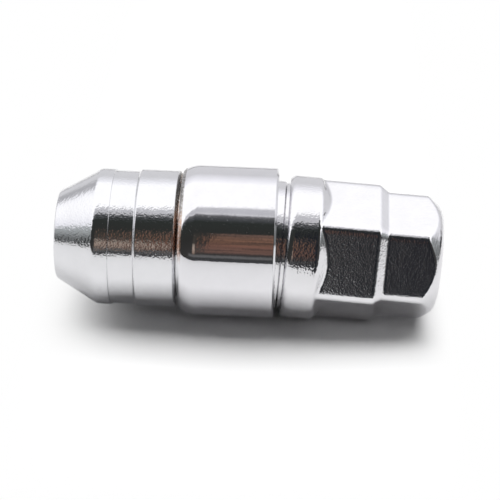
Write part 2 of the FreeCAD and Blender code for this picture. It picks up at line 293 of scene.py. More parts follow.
def merged_angles(*groups):
    """All angles of the groups, in order, without near doubles."""
    angles = np.sort(np.mod(np.concatenate(groups), 2 * math.pi))
    kept = [angles[0]]
    for angle in angles[1:]:
        if angle - kept[-1] > math.radians(CLOSEST_ANGLES):
            kept.append(angle)
    return np.array(kept)


def coded_outline(angles, core_radius, lobe_radius):
    """Radius of a round core with the code's lobes, by angle."""
    outline = np.full(len(angles), core_radius)
    for place_angle in FLUTE_ANGLES:
        offset = np.mod(angles - math.radians(place_angle) + math.pi, 2 * math.pi) - math.pi
        side = SOCKET_RADIUS * np.sin(offset)
        inside = (np.abs(side) < lobe_radius) & (np.abs(offset) < math.pi / 2)
        depth = np.sqrt(np.maximum(lobe_radius ** 2 - side ** 2, 0))
        reach = SOCKET_RADIUS * np.cos(offset) + depth
        outline = np.where(inside, np.maximum(outline, reach), outline)
    return outline


def thread_rows(angles):
    """Rows down the bore: a right-hand thread that fades out at the drilled end."""
    rows = []
    length = BORE_END - (LEAD_RADIUS - BORE_RADIUS)
    count = int(length / THREAD_PITCH * THREAD_ROWS_PER_PITCH)
    for step in range(count + 1):
        station = BORE_END - length * step / count
        phase = np.mod(station / THREAD_PITCH - angles / (2 * math.pi), 1.0)
        groove = np.clip(THREAD_CREST - np.abs(phase - 0.5) * THREAD_FLANK, 0.0, 1.0)
        fade = np.clip((BORE_END - station) / (THREAD_FADE_PITCHES * THREAD_PITCH), 0, 1)
        rows.append((station, BORE_RADIUS + THREAD_DEPTH * groove * fade))
    return rows


def make_nut(material):
    """Nut: threaded bore, conical seat, land, waist, shoulder, neck and coded socket."""
    angles = merged_angles(even_angles(NUT_STEPS),
                           flute_angles_near(NUT_FLUTE_SPREAD, NUT_FLUTE_STEPS))
    socket = coded_outline(angles, SOCKET_RADIUS, FLUTE_RADIUS)
    socket_floor = HEAD_END - SOCKET_DEPTH
    outside = rounded_path([
        (LEAD_RADIUS - BORE_RADIUS, BORE_RADIUS, 0),
        (0, LEAD_RADIUS, 0.08),
        (0, TIP_RADIUS, 0.45),
        (LAND_START, LAND_RADIUS, 1.3),
        (LAND_END, LAND_RADIUS, 0.07),
        (LAND_END + 0.04, WAIST_RADIUS, 0.05),
        (WAIST_END, WAIST_RADIUS, 0.15),
        (WAIST_END + WAIST_STEP, SHOULDER_RADIUS, 0.25),
        (SHOULDER_END - SHOULDER_CHAMFER, SHOULDER_RADIUS, 0.12),
        (SHOULDER_END, SHOULDER_RADIUS - SHOULDER_CHAMFER, 0.12),
        (SHOULDER_END, NECK_RADIUS, 0.1),
        (GROOVE_START, NECK_RADIUS, 0.05),
        (GROOVE_START, GROOVE_RADIUS, 0.05),
        (GROOVE_END, GROOVE_RADIUS, 0.05),
        (GROOVE_END, NECK_RADIUS, 0.05),
        (HEAD_END - HEAD_CHAMFER, NECK_RADIUS, 0.1),
        (HEAD_END, NECK_RADIUS - HEAD_CHAMFER, 0.1),
        (HEAD_END, SOCKET_RADIUS + FLUTE_RADIUS + 0.5, 0),
    ])
    rows = [(DRILL_TIP, 0.0)]
    rows += thread_rows(angles)
    rows += [tuple(point) for point in outside[1:]]
    rows += [
        (HEAD_END, socket + SOCKET_EDGE),
        (HEAD_END - SOCKET_EDGE * 0.3, socket + SOCKET_EDGE * 0.3),
        (HEAD_END - SOCKET_EDGE, socket),
        (HEAD_END - SOCKET_DEPTH / 2, socket),
        (socket_floor + SOCKET_EDGE, socket),
        (socket_floor, socket - SOCKET_EDGE),
        (socket_floor, socket * 0.5),
        (socket_floor, 0.0),
    ]
    nut = skin("lock_nut_skin", rows, angles, True, True)
    place(nut, material, ON_THE_AXIS, "nut", "lock_nut")


def make_sleeve(material):
    """Sleeve: rounded brow at the nut, straight outside, chamfered mouth and bearing ledge."""
    brow_run = BROW_LENGTH - SLEEVE_CHAMFER
    brow = []
    for step in range(BROW_STEPS + 1):
        back = brow_run * (1 - step / BROW_STEPS)
        drop = BROW_RADIUS - math.sqrt(BROW_RADIUS ** 2 - back ** 2)
        brow.append((SLEEVE_START + BROW_LENGTH - back, SLEEVE_RADIUS - drop, 0))
    face_radius = brow[0][1]
    brow[0] = (brow[0][0], brow[0][1], 0.12)
    outline = rounded_path([
        ((SLEEVE_START + LEDGE_STATION) / 2, BEARING_RADIUS, 0),
        (SLEEVE_START, BEARING_RADIUS, 0.15),
        (SLEEVE_START, face_radius - SLEEVE_CHAMFER, 0.1),
        *brow,
        (MOUTH_STATION - SLEEVE_CHAMFER, SLEEVE_RADIUS, 0.1),
        (MOUTH_STATION, SLEEVE_RADIUS - SLEEVE_CHAMFER, 0.1),
        (MOUTH_STATION, MOUTH_RADIUS + MOUTH_CHAMFER, 0.1),
        (MOUTH_STATION - MOUTH_CHAMFER, MOUTH_RADIUS, 0.12),
        (LEDGE_STATION, MOUTH_RADIUS, 0.1),
        (LEDGE_STATION, BEARING_RADIUS, 0.12),
        ((SLEEVE_START + LEDGE_STATION) / 2 + 0.5, BEARING_RADIUS, 0),
    ])
    sleeve = skin("sleeve_skin", [tuple(point) for point in outline],
                  even_angles(SLEEVE_STEPS), False, False, loop=True)
    place(sleeve, material, ON_THE_AXIS, "sleeve", "sleeve")


def hexagon_outline(angles, half_flat):
    """Radius of a hexagon with rounded corners, by angle."""
    side = math.radians(60)
    offset = np.mod(angles - math.radians(HEXAGON_ROLL) + side / 2, side) - side / 2
    offset = np.abs(offset)
    inset = half_flat - CORNER_ROUNDING
    tangent_angle = math.atan(inset * math.tan(side / 2) / half_flat)
    flat = half_flat / np.cos(offset)
    centre = inset / math.cos(side / 2)
    away = side / 2 - offset
    under_root = np.maximum(CORNER_ROUNDING ** 2 - (centre * np.sin(away)) ** 2, 0)
    corner = centre * np.cos(away) + np.sqrt(under_root)
    return np.where(offset < tangent_angle, flat, corner)


def level_at(path, station):
    """Height of a path of (station, height) points at a station."""
    points = np.array(path)
    return float(np.interp(station, points[:, 0], points[:, 1]))


def key_angles():
    """Angles round the key, packed at the hexagons' corners and at the code's lobes."""
    offsets = np.radians(
        np.linspace(-HEXAGON_CORNER_SPREAD, HEXAGON_CORNER_SPREAD, HEXAGON_CORNER_STEPS))
    corners = np.concatenate([
        math.radians(HEXAGON_ROLL + 30 + 60 * index) + offsets for index in range(6)
    ])
    return merged_angles(even_angles(KEY_STEPS), corners,
                         flute_angles_near(KEY_FLUTE_SPREAD, KEY_FLUTE_STEPS))


def boss_rows(angles):
    """Chamfered round tip, and behind it the boss with the code's lobes."""
    boss = coded_outline(angles, BOSS_RADIUS, LOBE_RADIUS)
    return [
        (0.0, 0.0),
        (0.0, BOSS_RADIUS * 0.6),
        (0.0, BOSS_RADIUS - BOSS_CHAMFER - BOSS_EDGE_HEIGHT),
        (BOSS_EDGE_LENGTH, BOSS_RADIUS - BOSS_CHAMFER + BOSS_EDGE_HEIGHT),
        (BOSS_CHAMFER - BOSS_EDGE_LENGTH, BOSS_RADIUS - BOSS_EDGE_HEIGHT),
        (BOSS_CHAMFER, BOSS_RADIUS),
        (BOSS_CHAMFER + BOSS_EDGE_LENGTH, boss - LOBE_EDGE_HEIGHT),
        (BOSS_CHAMFER + 2 * BOSS_EDGE_LENGTH, boss),
        (NOSE_START / 2, boss),
        (NOSE_START - BOSS_FOOT, boss),
        (NOSE_START, boss + BOSS_FOOT),
    ]


def collar_rows():
    """Nose, undercut, and the collar with its face, lean and rounding."""
    return [tuple(point) for point in rounded_path([
        (NOSE_START, BOSS_RADIUS + 1.6, 0),
        (NOSE_START, NOSE_RADIUS - NOSE_CHAMFER, 0.15),
        (NOSE_START + NOSE_CHAMFER, NOSE_RADIUS, 0.15),
        (COLLAR_START - UNDERCUT_WIDTH, NOSE_RADIUS, 0.06),
        (COLLAR_START - UNDERCUT_WIDTH + UNDERCUT_SLANT, NOSE_RADIUS - UNDERCUT_DEPTH, 0.06),
        (COLLAR_START, NOSE_RADIUS - UNDERCUT_DEPTH, 0.06),
        (COLLAR_START, COLLAR_RADIUS - COLLAR_LEAN_HEIGHT, 0.03),
        (COLLAR_START + COLLAR_LEAN_LENGTH, COLLAR_RADIUS, COLLAR_ROUNDING),
        (COLLAR_END - 2.0, COLLAR_RADIUS, 0),
    ])]


def hexagon_rows(angles, end_start):
    """Large hexagon, taper and small hexagon, which stand out of the cone behind the collar."""
    fall = rounded_path([
        (COLLAR_END - 3.0, COLLAR_RADIUS, 0),
        (COLLAR_END, COLLAR_RADIUS, 1.0),
        (RUNOUT_END, LARGE_HALF_FLAT - RUNOUT_SINK, 0.5),
        (RUNOUT_END + 1.0, LARGE_HALF_FLAT - 3.0, 0),
    ])
    half_flats = rounded_path([
        (COLLAR_END - 3.0, LARGE_HALF_FLAT, 0),
        (TAPER_START, LARGE_HALF_FLAT, 1.2),
        (TAPER_END, SMALL_HALF_FLAT, 0.8),
        (KEY_END + 1.0, SMALL_HALF_FLAT, 0),
    ])
    fine = np.arange(COLLAR_END - 1.6, RUNOUT_END + 0.6, FINE_ROWS)
    large = np.arange(RUNOUT_END + 0.8, TAPER_START - 1.0, PLAIN_ROWS)
    taper = np.arange(TAPER_START - 0.9, TAPER_END + 0.8, TAPER_ROWS)
    small = np.arange(TAPER_END + 1.1, end_start, PLAIN_ROWS)
    rows = []
    for station in np.concatenate([fine, large, taper, small]):
        hexagon = hexagon_outline(angles, level_at(half_flats, station))
        cone = level_at(fall, station) if station < RUNOUT_END + 1.0 else 0.0
        rows.append((station, smooth_upper(hexagon, np.full(len(angles), cone), CONE_CREASE)))
    return rows


def end_rows(angles, end_start):
    """The turned end, which cuts the small hexagon's corners off."""
    small_corner = SMALL_HALF_FLAT / math.cos(math.radians(30))
    outline = rounded_path([
        (end_start, small_corner + END_LEAD_RISE, 0),
        (KEY_END, END_FACE_RADIUS, END_ROUNDING),
        (KEY_END, 3.0, 0),
    ])
    hexagon = hexagon_outline(angles, SMALL_HALF_FLAT)
    rows = []
    previous = np.array(outline[0])
    for point in outline[1:]:
        point = np.array(point)
        near_axis = point[1] < SMALL_HALF_FLAT / 2
        pieces = 1 if near_axis else max(1, int(np.linalg.norm(point - previous) / END_ROWS))
        for step in range(1, pieces + 1):
            station, radius = previous + (point - previous) * step / pieces
            rows.append((station, smooth_lower(hexagon, np.full(len(angles), radius), END_CREASE)))
        previous = point
    rows.append((KEY_END, 0.0))
    return rows


def make_key(material):
    """Key: coded boss, nose, undercut, collar, large hexagon, taper, small hexagon."""
    angles = key_angles()
    end_start = KEY_END - END_CHAMFER_LENGTH - END_LEAD
    rows = boss_rows(angles) + collar_rows()
    rows += hexagon_rows(angles, end_start) + end_rows(angles, end_start)
    key = skin("key_skin", rows, angles, True, True)
    tilt = Matrix.Rotation(math.radians(DROOP), 4, "Y")
    pivot = Vector((TIP_X + HEAD_END * MM, 0, AXIS_HEIGHT))
    transform = Matrix.Translation(pivot) @ tilt @ Matrix.Translation((-BOSS_REACH * MM, 0, 0))
    place(key, material, transform, "key", "key")
    return key


def make_snap_ring(material):
    """Split ring of rectangular wire with rounded edges."""
    half_gap = RING_OPENING / 2 / RING_INNER
    angles = np.linspace(math.pi / 2 + half_gap, math.pi * 2.5 - half_gap, RING_STEPS)
    middle = (RING_INNER + RING_OUTER) / 2
    outline = rounded_path([
        (RING_START, middle, 0),
        (RING_START, RING_OUTER, 0.12),
        (RING_END, RING_OUTER, 0.12),
        (RING_END, RING_INNER, 0.12),
        (RING_START, RING_INNER, 0.12),
        (RING_START, middle - 0.3, 0),
    ])
    count = len(outline)
    vertices = []
    for angle in angles:
        for station, radius in outline:
            vertices.append((station * MM, radius * math.cos(angle) * MM,
                             radius * math.sin(angle) * MM))
    faces = []
    for step in range(len(angles) - 1):
        for index in range(count):
            turn = (index + 1) % count
            first = step * count
            second = first + count
            faces.append((first + index, first + turn, second + turn, second + index))
    faces.append(tuple(range(count)))
    faces.append(tuple(reversed(range(len(vertices) - count, len(vertices)))))
    mesh = bpy.data.meshes.new("snap_ring_skin")
    mesh.from_pydata(vertices, [], faces)
    mesh.validate()
    mesh.shade_smooth()
    ring = bpy.data.objects.new("snap_ring_skin", mesh)
    bpy.context.scene.collection.objects.link(ring)
    place(ring, material, ON_THE_AXIS, "nut", "snap_ring")


# Materials. Feature sizes, heights and stations are in millimetres.
NUT_COLOUR = (0.735, 0.735, 0.755)
SLEEVE_COLOUR = (0.735, 0.73, 0.755)
KEY_COLOUR = (0.74, 0.735, 0.755)
NUT_ROUGHNESS = 0.05
SLEEVE_ROUGHNESS = 0.035
KEY_ROUGHNESS = 0.05
WRINKLE_ROUGHNESS = 0.11
SPECK_ROUGHNESS = 0.3
STAIN_ROUGHNESS = 0.3

# Relief of the plate, in layers of (feature size, height, detail).
NUT_RELIEF = [(2.2, 0.01, 1.0), (0.6, 0.017, 1.0), (0.31, 0.018, 1.0)]
SLEEVE_RELIEF = [(3.0, 0.01, 1.0), (0.6, 0.0028, 1.0), (0.25, 0.0012, 1.0)]
KEY_RELIEF = [(2.4, 0.02, 1.0), (0.31, 0.015, 1.0)]
PEBBLE_SIZE = 0.62
PEBBLE_HEIGHT = 0.015
WRINKLE_SIZE = 0.33
WRINKLE_HEIGHT = 0.012
WRINKLE_DISTORTION = 0.7
CLOUD_SIZE = 4.0
CLOUD_DARKENING = 0.95
CLOUD_DULLING = 1.6
FLECK_SIZE = 0.4
SPECK_SIZE = 0.42
MOTTLE_SIZE = 0.8

# The key's forged skin starts before the run-out's end, by station, and goes on past the key's end.
FORGED_START = HEAD_END + RUNOUT_END - BOSS_REACH - 1.2
FORGED_LENGTH = 40.0
FORGED_SOFTNESS = 0.4
PEBBLES_LOST_ON_FORGED = 0.4

# Heights over the axis between which stains and specks fade in, and the stains' colours above that.
STAIN_FADE = (1.5, 4.5)
SPECK_FADE = (5.5, 7.0)
EDGE_STAIN = [
    (2.0, (0.4, 0.24, 0.18)),
    (5.5, (0.55, 0.34, 0.25)),
    (8.0, (0.62, 0.42, 0.32)),
    (9.6, (0.3, 0.27, 0.24)),
    (11.0, (0.24, 0.23, 0.22)),
]


def grey(value):
    return (value, value, value)


class Wiring:
    """Short calls that add a node and give back its output."""

    def __init__(self, tree):
        self.nodes = tree.nodes
        self.links = tree.links

    def feed(self, value, socket):
        if isinstance(value, bpy.types.NodeSocket):
            self.links.new(value, socket)
        else:
            socket.default_value = value

    def math(self, operation, first, second=0.0):
        node = self.nodes.new("ShaderNodeMath")
        node.operation = operation
        self.feed(first, node.inputs[0])
        self.feed(second, node.inputs[1])
        return node.outputs["Value"]

    def times(self, first, second):
        return self.math("MULTIPLY", first, second)

    def step(self, value, low, high):
        """Smooth step from 0 at low to 1 at high, or falling where low is above high."""
        node = self.nodes.new("ShaderNodeMapRange")
        node.interpolation_type = "SMOOTHSTEP"
        self.feed(value, node.inputs["Value"])
        node.inputs["From Min"].default_value = min(low, high)
        node.inputs["From Max"].default_value = max(low, high)
        node.inputs["To Min"].default_value = 0.0 if low < high else 1.0
        node.inputs["To Max"].default_value = 1.0 if low < high else 0.0
        return node.outputs["Result"]

    def window(self, value, span):
        """Share from 0 to 1. The span is two pairs: where it rises, and where it falls again."""
        rise, fall = span
        return self.times(self.step(value, rise[0], rise[1]), self.step(value, fall[1], fall[0]))

    def mix(self, share, first, second, blend="MIX"):
        node = self.nodes.new("ShaderNodeMix")
        node.data_type = "RGBA"
        node.blend_type = blend
        self.feed(share, node.inputs["Factor"])
        colours = [socket for socket in node.inputs if socket.type == "RGBA"]
        self.feed(first, colours[0])
        self.feed(second, colours[1])
        return [socket for socket in node.outputs if socket.type == "RGBA"][0]

    def parts(self, vector):
        """X, Y and Z of a vector."""
        node = self.nodes.new("ShaderNodeSeparateXYZ")
        self.links.new(vector, node.inputs["Vector"])
        return node.outputs["X"], node.outputs["Y"], node.outputs["Z"]

    def noise(self, source, scale, detail, roughness, distortion=0.0):
        node = self.nodes.new("ShaderNodeTexNoise")
        node.inputs["Scale"].default_value = scale
        node.inputs["Detail"].default_value = detail
        node.inputs["Roughness"].default_value = roughness
        node.inputs["Distortion"].default_value = distortion
        self.links.new(source, node.inputs["Vector"])
        return node.outputs["Fac"]

    def bump(self, pattern, height, under=None):
        """Normal of a pattern from 0 to 1 that is so many millimetres high, over another normal."""
        node = self.nodes.new("ShaderNodeBump")
        node.inputs["Strength"].default_value = 1.0
        node.inputs["Distance"].default_value = height * MM
        self.links.new(pattern, node.inputs["Height"])
        if under is not None:
            self.links.new(under, node.inputs["Normal"])
        return node.outputs["Normal"]

    def ramp(self, source, stops):
        """Colour ramp with stops of (place, colour)."""
        node = self.nodes.new("ShaderNodeValToRGB")
        elements = node.color_ramp.elements
        while len(elements) < len(stops):
            elements.new(0.5)
        for element, (place_on_ramp, colour) in zip(elements, stops):
            element.position = place_on_ramp
            element.color = (*colour, 1.0)
        self.links.new(source, node.inputs["Fac"])
        return node.outputs["Color"]

    def ramp_over(self, source, low, high, stops):
        """Colour ramp with stops between two values of the source."""
        share = self.math("DIVIDE", self.math("SUBTRACT", source, low), high - low)
        return self.ramp(share, [((value - low) / (high - low), colour) for value, colour in stops])

    def by_elevation(self, elevation, stops):
        """Colour by elevation in degrees, from -10 up to 90."""
        return self.ramp_over(elevation, -10.0, 90.0, stops)


class Chrome:
    """Chrome plate with faint cloudy wear. Relief, stains and dull places are added to it."""

    def __init__(self, name, colour, roughness, relief):
        self.material = bpy.data.materials.new(name)
        self.material.use_nodes = True
        self.wiring = Wiring(self.material.node_tree)
        self.position = self.wiring.nodes.new("ShaderNodeTexCoord").outputs["Object"]
        self.along, _, self.height = self.wiring.parts(self.position)
        self.normal = None
        for feature_size, height, detail in relief:
            self.emboss(self.pattern(feature_size, detail, 0.55), height)
        clouds = self.pattern(CLOUD_SIZE, 4.0, 0.65)
        darker = tuple(CLOUD_DARKENING * channel for channel in colour)
        self.tint = self.wiring.ramp(clouds, [(0.3, darker), (0.7, colour)])
        self.dullness = self.wiring.ramp(clouds, [
            (0.35, grey(roughness)),
            (0.75, grey(roughness * CLOUD_DULLING)),
        ])

    def pattern(self, feature_size, detail, roughness, distortion=0.0):
        scale = 1 / (feature_size * MM)
        return self.wiring.noise(self.position, scale, detail, roughness, distortion)

    def emboss(self, pattern, height):
        self.normal = self.wiring.bump(pattern, height, self.normal)

    def dull(self, share, roughness):
        self.dullness = self.wiring.mix(share, self.dullness, (*grey(roughness), 1.0))

    def between(self, start, end, softness=0.08):
        """Share from 0 to 1 of a stretch between two stations."""
        low = TIP_X + start * MM
        high = TIP_X + end * MM
        soft = softness * MM
        span = ((low - soft, low + soft), (high - soft, high + soft))
        return self.wiring.window(self.along, span)

    def above(self, fade):
        """Share from 0 to 1 of what lies above the axis, with the heights where it fades in."""
        low, high = fade
        return self.wiring.step(self.height, AXIS_HEIGHT + low * MM, AXIS_HEIGHT + high * MM)

    def stain_edge(self, start, end):
        """Thin plating on an edge, grey at the top and copper below it."""
        flecks = self.wiring.step(self.pattern(FLECK_SIZE, 3.0, 0.6), 0.2, 0.6)
        share = self.wiring.times(self.between(start, end), self.above(STAIN_FADE))
        share = self.wiring.times(share, flecks)
        over_axis = self.wiring.math("SUBTRACT", self.height, AXIS_HEIGHT)
        in_millimetres = self.wiring.math("DIVIDE", over_axis, MM)
        stain = self.wiring.ramp_over(in_millimetres, -15.0, 15.0, EDGE_STAIN)
        self.tint = self.wiring.mix(share, self.tint, stain)
        self.dull(share, STAIN_ROUGHNESS)

    def finish(self):
        """Joins it all to the shader and gives the material."""
        shader = self.wiring.nodes["Principled BSDF"]
        shader.inputs["Metallic"].default_value = 1.0
        self.wiring.links.new(self.normal, shader.inputs["Normal"])
        self.wiring.links.new(self.tint, shader.inputs["Base Color"])
        self.wiring.links.new(self.dullness, shader.inputs["Roughness"])
        return self.material


def nut_chrome():
    """Orange-peel chrome, stained at the edge beside the sleeve."""
    plate = Chrome("nut_chrome", NUT_COLOUR, NUT_ROUGHNESS, NUT_RELIEF)
    plate.stain_edge(SHOULDER_END - 0.3, SHOULDER_END + 0.2)
    return plate.finish()


def sleeve_chrome():
    """Smooth chrome, stained at the edge beside the nut and with dull specks along its top."""
    plate = Chrome("sleeve_chrome", SLEEVE_COLOUR, SLEEVE_ROUGHNESS, SLEEVE_RELIEF)
    plate.stain_edge(SLEEVE_START - 0.2, SLEEVE_START + 0.6)
    specks = plate.wiring.step(plate.pattern(SPECK_SIZE, 3.0, 0.7), 0.5, 0.78)
    plate.dull(plate.wiring.times(specks, plate.above(SPECK_FADE)), SPECK_ROUGHNESS)
    return plate.finish()


def key_chrome():
    """The collar is turned. Behind it the plate covers a forged skin, duller and wrinkled."""
    plate = Chrome("key_chrome", KEY_COLOUR, KEY_ROUGHNESS, KEY_RELIEF)
    wiring = plate.wiring
    forged = plate.between(FORGED_START, FORGED_START + FORGED_LENGTH, FORGED_SOFTNESS)
    pebbles_left = wiring.math("SUBTRACT", 1.0, wiring.times(forged, PEBBLES_LOST_ON_FORGED))
    pebbles = plate.pattern(PEBBLE_SIZE, 1.0, 0.5)
    plate.emboss(wiring.times(pebbles, pebbles_left), PEBBLE_HEIGHT)
    creases = plate.pattern(WRINKLE_SIZE, 2.5, 0.6, WRINKLE_DISTORTION)
    plate.emboss(wiring.times(creases, forged), WRINKLE_HEIGHT)
    plate.dull(forged, WRINKLE_ROUGHNESS)
    return plate.finish()


def spring_steel():
    """Dark oiled steel, mottled."""
    material = bpy.data.materials.new("spring_steel")
    material.use_nodes = True
    wiring = Wiring(material.node_tree)
    shader = wiring.nodes["Principled BSDF"]
    shader.inputs["Metallic"].default_value = 1.0
    position = wiring.nodes.new("ShaderNodeTexCoord").outputs["Object"]
    mottle = wiring.noise(position, 1 / (MOTTLE_SIZE * MM), 5.0, 0.7)
    tint = wiring.ramp(mottle, [(0.3, (0.2, 0.2, 0.21)), (0.7, (0.4, 0.4, 0.41))])
    dullness = wiring.ramp(mottle, [(0.3, grey(0.28)), (0.7, grey(0.45))])
    wiring.links.new(tint, shader.inputs["Base Color"])
    wiring.links.new(dullness, shader.inputs["Roughness"])
    return material


# Studio. A soft lamp overhead lights the floor and the object. The world gives a faint fill, is
# white where the camera sees it, and stands for the room where the metal mirrors it.
LAMP_HEIGHT = 0.6
LAMP_WIDTH = 1.1
LAMP_DEPTH = 0.5
LAMP_SHIFT = 0.09
LAMP_WATTS = 6.0
FILL_LEVEL = 0.055
WHITE = (1.0, 1.0, 1.0, 1.0)

# The floor. Its front edge stands further out at the left, and steps in between two places.
FLOOR_REACH = 3.0
FLOOR_FRONT = 0.29
NEAR_FRONT = 0.065
CUT_FAR_X = 0.021
CUT_NEAR_X = 0.0135
FLOOR_COLOUR = 0.97

# To the camera the floor turns white over these stretches: out from the middle, to the left, and to
# the right of the key. Out from the middle this is the plain white backdrop; to the left and to the
# right of the key it is painted light, which lifts the ends of the object's shadow.
CLEAR_FROM = 0.12
CLEAR_TO = 0.2
LEFT_PAINTED_LIGHT_FROM = -0.013
LEFT_PAINTED_LIGHT_TO = -0.0374
RIGHT_PAINTED_LIGHT_FROM = 0.0283
RIGHT_PAINTED_LIGHT_TO = 0.035

# Colours in the room, by elevation in degrees.
DARK_SIDE = [
    (-2.0, (0.06, 0.062, 0.065)),
    (7.0, (0.05, 0.048, 0.047)),
    (30.0, (0.035, 0.035, 0.033)),
    (56.0, (0.035, 0.04, 0.037)),
    (61.0, (0.08, 0.085, 0.09)),
    (64.5, (0.13, 0.132, 0.135)),
    (66.5, (0.2, 0.2, 0.21)),
    (68.3, (0.76, 0.76, 0.78)),
    (69.6, (0.78, 0.78, 0.8)),
    (71.2, (0.66, 0.66, 0.69)),
    (78.0, (0.68, 0.68, 0.71)),
    (82.0, (1.4, 1.4, 1.4)),
]
LEDGE = [
    (1.5, (0.0, 0.0, 0.0)),
    (3.5, (0.1, 0.1, 0.1)),
    (5.0, (0.1, 0.1, 0.1)),
    (7.5, (0.0, 0.0, 0.0)),
]
BROWN_LOW = [
    (6.0, (0.0, 0.0, 0.0)),
    (9.0, (0.26, 0.18, 0.135)),
    (15.0, (0.41, 0.32, 0.26)),
    (20.0, (0.28, 0.23, 0.19)),
    (23.0, (0.03, 0.025, 0.02)),
    (34.0, (0.02, 0.015, 0.01)),
    (40.0, (0.0, 0.0, 0.0)),
]
BROWN_TALL = [
    (8.0, (0.0, 0.0, 0.0)),
    (11.0, (0.13, 0.06, 0.042)),
    (20.0, (0.17, 0.07, 0.045)),
    (27.0, (0.17, 0.075, 0.042)),
    (33.0, (0.21, 0.1, 0.062)),
    (38.0, (0.17, 0.09, 0.065)),
    (40.2, (0.0, 0.0, 0.0)),
]
WALL = [
    (0.0, (0.8, 0.8, 0.82)),
    (30.0, (0.82, 0.82, 0.84)),
    (45.0, (1.15, 1.15, 1.2)),
    (55.0, (1.4, 1.4, 1.4)),
]
SIDE_CARD = [
    (-2.0, (0.2, 0.21, 0.21)),
    (7.0, (0.22, 0.23, 0.23)),
    (12.0, (0.38, 0.4, 0.4)),
    (17.0, (0.45, 0.48, 0.48)),
]
STREAK_COLOUR = (0.56, 0.56, 0.58, 1.0)
STRIP_COLOUR = (0.06, 0.06, 0.065, 1.0)
CORNER_COLOURS = [(0.38, (0.004, 0.005, 0.006)), (0.6, (0.04, 0.042, 0.05))]

# Places in the room, in degrees. Azimuth 0 is the camera's side and grows to the right. A thing's
# span is (where it sets in, where it ends), and its top is where it ends upwards.
WALL_LOWERED = 22.0
WALL_BEHIND = (110.0, 180.0)
CARD_AZIMUTHS = ((-83.0, -77.0), (98.0, 104.0))
CARDS_END_AT_SIDES = (110.0, 120.0)
CARD_TOPS = ((17.0, 23.0), (20.0, 27.0))
STREAK_AZIMUTHS = ((-150.0, -143.0), (-127.0, -122.0))
STREAK_ELEVATIONS = ((12.0, 18.0), (25.0, 28.0))
STRIP_AZIMUTHS = ((97.0, 100.0), (116.0, 122.0))
STRIP_TOP = (10.0, 15.0)
DARK_AZIMUTHS = ((-68.0, -65.0), (68.0, 72.0))
CORNER_AZIMUTHS = ((3.6, 5.6), (20.0, 40.0))
CORNER_TOP = (45.0, 60.0)
LOW_AZIMUTHS = ((-15.0, -11.0), (-6.2, -4.8))
TALL_START = (-4.9, -4.1)
LEDGE_AZIMUTHS = ((-30.0, -20.0), (0.9, 1.6))

# The tall brown thing ends in two layers of (where it ends, its share of the colour).
TALL_ENDS = [((-0.3, 0.8), 0.45), ((2.8, 4.5), 0.55)]

# The dark side's top comes down towards the left: (degrees left of the camera, fall a degree).
DARK_FALLS = [(16.0, 0.36), (52.0, 0.9)]

# Clutter in the dark corner, and the brown thing's grain: its scale across and up, and its shades.
CLUTTER_SCALE = 16.0
GRAIN_ACROSS = 0.25
GRAIN_UP = 0.32
GRAIN_SHADES = [(0.34, grey(0.45)), (0.6, grey(1.15))]


def make_lamp():
    data = bpy.data.lights.new("overhead", "AREA")
    data.shape = "RECTANGLE"
    data.size = LAMP_WIDTH
    data.size_y = LAMP_DEPTH
    data.energy = LAMP_WATTS
    lamp = bpy.data.objects.new("overhead", data)
    lamp.location = (0, LAMP_SHIFT, LAMP_HEIGHT)
    lamp.visible_glossy = False
    bpy.context.scene.collection.objects.link(lamp)


def floor_white_and_painted_light(wiring, key):
    """Share from 0 to 1 of plain white: the white backdrop further out, and painted light over the
    shadow close to both ends of the object.
    """
    position = wiring.nodes.new("ShaderNodeNewGeometry").outputs["Position"]
    from_key = wiring.nodes.new("ShaderNodeTexCoord")
    from_key.object = key
    distance = wiring.nodes.new("ShaderNodeVectorMath")
    distance.operation = "LENGTH"
    wiring.links.new(position, distance.inputs[0])
    out = wiring.step(distance.outputs["Value"], CLEAR_FROM, CLEAR_TO)
    # Painted light: left of the nut's end the floor turns white to the camera, over the object's
    # shadow.
    left = wiring.step(wiring.parts(position)[0], LEFT_PAINTED_LIGHT_FROM, LEFT_PAINTED_LIGHT_TO)
    # At the right the painted light moves with the key.
    right = wiring.step(wiring.parts(from_key.outputs["Object"])[0], RIGHT_PAINTED_LIGHT_FROM,
                        RIGHT_PAINTED_LIGHT_TO)
    clearing = wiring.math("MAXIMUM", out, wiring.times(left, left))
    return wiring.math("MAXIMUM", clearing, right)


def floor_material(key):
    """Pale and matt, plain white to the camera further out, and painted light to the camera over
    the shadow's ends beside the object.
    """
    material = bpy.data.materials.new("floor")
    material.use_nodes = True
    material.node_tree.nodes.clear()
    wiring = Wiring(material.node_tree)
    diffuse = wiring.nodes.new("ShaderNodeBsdfDiffuse")
    diffuse.inputs["Color"].default_value = (*grey(FLOOR_COLOUR), 1.0)
    white = wiring.nodes.new("ShaderNodeEmission")
    seen = wiring.nodes.new("ShaderNodeLightPath").outputs["Is Camera Ray"]
    mix = wiring.nodes.new("ShaderNodeMixShader")
    # Painted light: the camera sees white emission where the floor's shadow ends beside the object.
    wiring.feed(wiring.times(floor_white_and_painted_light(wiring, key), seen), mix.inputs["Fac"])
    wiring.links.new(diffuse.outputs["BSDF"], mix.inputs[1])
    wiring.links.new(white.outputs["Emission"], mix.inputs[2])
    output = wiring.nodes.new("ShaderNodeOutputMaterial")
    wiring.links.new(mix.outputs["Shader"], output.inputs["Surface"])
    return material


